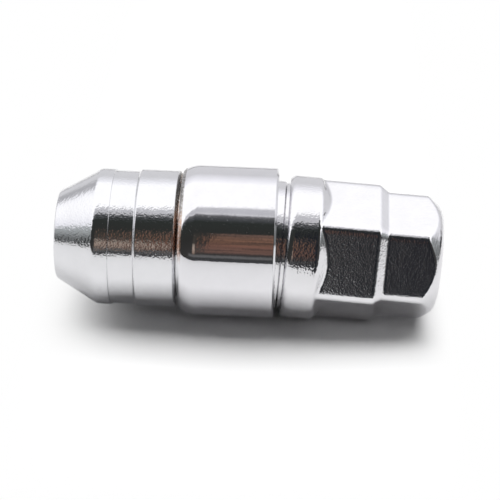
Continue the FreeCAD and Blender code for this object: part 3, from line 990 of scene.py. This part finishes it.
def make_floor(key):
    """Table that ends in front of the object, so that the metal mirrors the room there."""
    mesh = bpy.data.meshes.new("floor")
    mesh.from_pydata([
        (-FLOOR_REACH, -FLOOR_FRONT, 0),
        (CUT_FAR_X, -FLOOR_FRONT, 0),
        (CUT_NEAR_X, -NEAR_FRONT, 0),
        (FLOOR_REACH, -NEAR_FRONT, 0),
        (FLOOR_REACH, FLOOR_REACH, 0),
        (CUT_NEAR_X, FLOOR_REACH, 0),
        (-FLOOR_REACH, FLOOR_REACH, 0),
    ], [], [(0, 1, 2, 5, 6), (2, 3, 4, 5)])
    floor = bpy.data.objects.new("floor", mesh)
    bpy.context.scene.collection.objects.link(floor)
    mesh.materials.append(floor_material(key))


def pale_walls(wiring, azimuth, elevation):
    """Wall all round, grey cards at both sides, a streak at the back and a dark strip."""
    # The wall turns white lower down at the left and right than behind.
    to_the_side = wiring.math("ABSOLUTE", azimuth)
    behind = wiring.step(to_the_side, *WALL_BEHIND)
    lowered = wiring.times(wiring.math("SUBTRACT", 1.0, behind), WALL_LOWERED)
    walls = wiring.by_elevation(wiring.math("ADD", elevation, lowered), WALL)

    cards = wiring.window(azimuth, CARD_AZIMUTHS)
    cards = wiring.times(cards, wiring.step(to_the_side, *reversed(CARDS_END_AT_SIDES)))
    for top in CARD_TOPS:
        cards = wiring.times(cards, wiring.step(elevation, *reversed(top)))
    walls = wiring.mix(cards, walls, wiring.by_elevation(elevation, SIDE_CARD))

    streak = wiring.times(wiring.window(azimuth, STREAK_AZIMUTHS),
                          wiring.window(elevation, STREAK_ELEVATIONS))
    walls = wiring.mix(streak, walls, STREAK_COLOUR)
    strip = wiring.times(wiring.window(azimuth, STRIP_AZIMUTHS),
                         wiring.step(elevation, *reversed(STRIP_TOP)))
    return wiring.mix(strip, walls, STRIP_COLOUR)


def dark_side(wiring, room, direction, azimuth, elevation):
    """The dark side towards the camera, with a cluttered corner that is darker still."""
    leftward = wiring.times(azimuth, -1.0)
    raised = elevation
    for start, fall in DARK_FALLS:
        past = wiring.math("MAXIMUM", wiring.math("SUBTRACT", leftward, start), 0.0)
        raised = wiring.math("ADD", raised, wiring.times(past, fall))
    dark = wiring.window(azimuth, DARK_AZIMUTHS)
    room = wiring.mix(dark, room, wiring.by_elevation(raised, DARK_SIDE))
    corner = wiring.times(wiring.window(azimuth, CORNER_AZIMUTHS),
                          wiring.step(elevation, *reversed(CORNER_TOP)))
    clutter = wiring.noise(direction, CLUTTER_SCALE, 2.0, 0.6)
    return wiring.mix(corner, room, wiring.ramp(clutter, CORNER_COLOURS))


def brown_things(wiring, room, azimuth, elevation):
    """Brown things that stand in front of the dark side, and the ledge below them."""
    stretched = wiring.nodes.new("ShaderNodeCombineXYZ")
    wiring.links.new(wiring.times(azimuth, GRAIN_ACROSS), stretched.inputs["X"])
    wiring.links.new(wiring.times(elevation, GRAIN_UP), stretched.inputs["Y"])
    grain = wiring.noise(stretched.outputs["Vector"], 1.0, 2.0, 0.55)
    streaks = wiring.ramp(grain, GRAIN_SHADES)
    streaked = wiring.mix(1.0, wiring.by_elevation(elevation, BROWN_TALL), streaks, "MULTIPLY")

    low = wiring.window(azimuth, LOW_AZIMUTHS)
    layers = [wiring.times(wiring.step(azimuth, *reversed(end)), share) for end, share in TALL_ENDS]
    tall = wiring.times(wiring.step(azimuth, *TALL_START), wiring.math("ADD", *layers))
    ledge = wiring.window(azimuth, LEDGE_AZIMUTHS)
    room = wiring.mix(low, room, wiring.by_elevation(elevation, BROWN_LOW), "ADD")
    room = wiring.mix(tall, room, streaked, "ADD")
    return wiring.mix(ledge, room, wiring.by_elevation(elevation, LEDGE), "ADD")


def make_room(wiring):
    """Colour of the room by direction."""
    direction = wiring.nodes.new("ShaderNodeTexCoord").outputs["Generated"]
    across, along, up = wiring.parts(direction)
    toward = wiring.times(along, -1.0)
    azimuth = wiring.math("DEGREES", wiring.math("ARCTAN2", across, toward))
    elevation = wiring.math("DEGREES", wiring.math("ARCSINE", up))
    room = pale_walls(wiring, azimuth, elevation)
    room = dark_side(wiring, room, direction, azimuth, elevation)
    return brown_things(wiring, room, azimuth, elevation)


def make_world():
    """Room where the metal mirrors it, white where the camera sees it, and a faint fill."""
    world = bpy.data.worlds.new("studio")
    bpy.context.scene.world = world
    world.use_nodes = True
    world.node_tree.nodes.clear()
    wiring = Wiring(world.node_tree)
    path = wiring.nodes.new("ShaderNodeLightPath")
    seen = wiring.math("MAXIMUM", path.outputs["Is Camera Ray"],
                       path.outputs["Is Transmission Ray"])
    fill = (*grey(FILL_LEVEL), 1.0)
    colour = wiring.mix(path.outputs["Is Glossy Ray"], fill, make_room(wiring))
    colour = wiring.mix(seen, colour, WHITE)
    background = wiring.nodes.new("ShaderNodeBackground")
    wiring.feed(colour, background.inputs["Color"])
    output = wiring.nodes.new("ShaderNodeOutputWorld")
    wiring.links.new(background.outputs["Background"], output.inputs["Surface"])


# Camera, fitted to the edges that the photograph shows. Its target is measured from the nut's
# small end.
CAMERA_TARGET = (0.03251, 0.0, 0.01124)
CAMERA_DISTANCE = 0.27285
CAMERA_AZIMUTH = 1.65
CAMERA_ELEVATION = 29.0
CAMERA_ROLL = 1.65
FOCAL_LENGTH_IN_PIXELS = 1600.0
PHOTO_WIDTH = 500.0
SENSOR_WIDTH = 36.0


def make_camera():
    azimuth = math.radians(CAMERA_AZIMUTH)
    elevation = math.radians(CAMERA_ELEVATION)
    back = Vector((
        math.sin(azimuth) * math.cos(elevation),
        -math.cos(azimuth) * math.cos(elevation),
        math.sin(elevation),
    ))
    right = Vector((math.cos(azimuth), math.sin(azimuth), 0))
    up = back.cross(right)
    roll = math.radians(CAMERA_ROLL)
    rolled_right = right * math.cos(roll) + up * math.sin(roll)
    rolled_up = up * math.cos(roll) - right * math.sin(roll)
    data = bpy.data.cameras.new("camera")
    data.sensor_width = SENSOR_WIDTH
    data.lens = FOCAL_LENGTH_IN_PIXELS / PHOTO_WIDTH * SENSOR_WIDTH
    data.clip_start = 0.01
    camera = bpy.data.objects.new("camera", data)
    bpy.context.scene.collection.objects.link(camera)
    target = Vector(CAMERA_TARGET) + Vector((TIP_X, 0, 0))
    place_at = target + back * CAMERA_DISTANCE
    camera.matrix_world = Matrix((
        (rolled_right.x, rolled_up.x, back.x, place_at.x),
        (rolled_right.y, rolled_up.y, back.y, place_at.y),
        (rolled_right.z, rolled_up.z, back.z, place_at.z),
        (0, 0, 0, 1),
    ))
    bpy.context.scene.camera = camera


make_nut(nut_chrome())
make_sleeve(sleeve_chrome())
make_snap_ring(spring_steel())
key = make_key(key_chrome())

make_floor(key)
make_world()
make_lamp()
make_camera()
bpy.context.scene.view_settings.view_transform = "Standard"
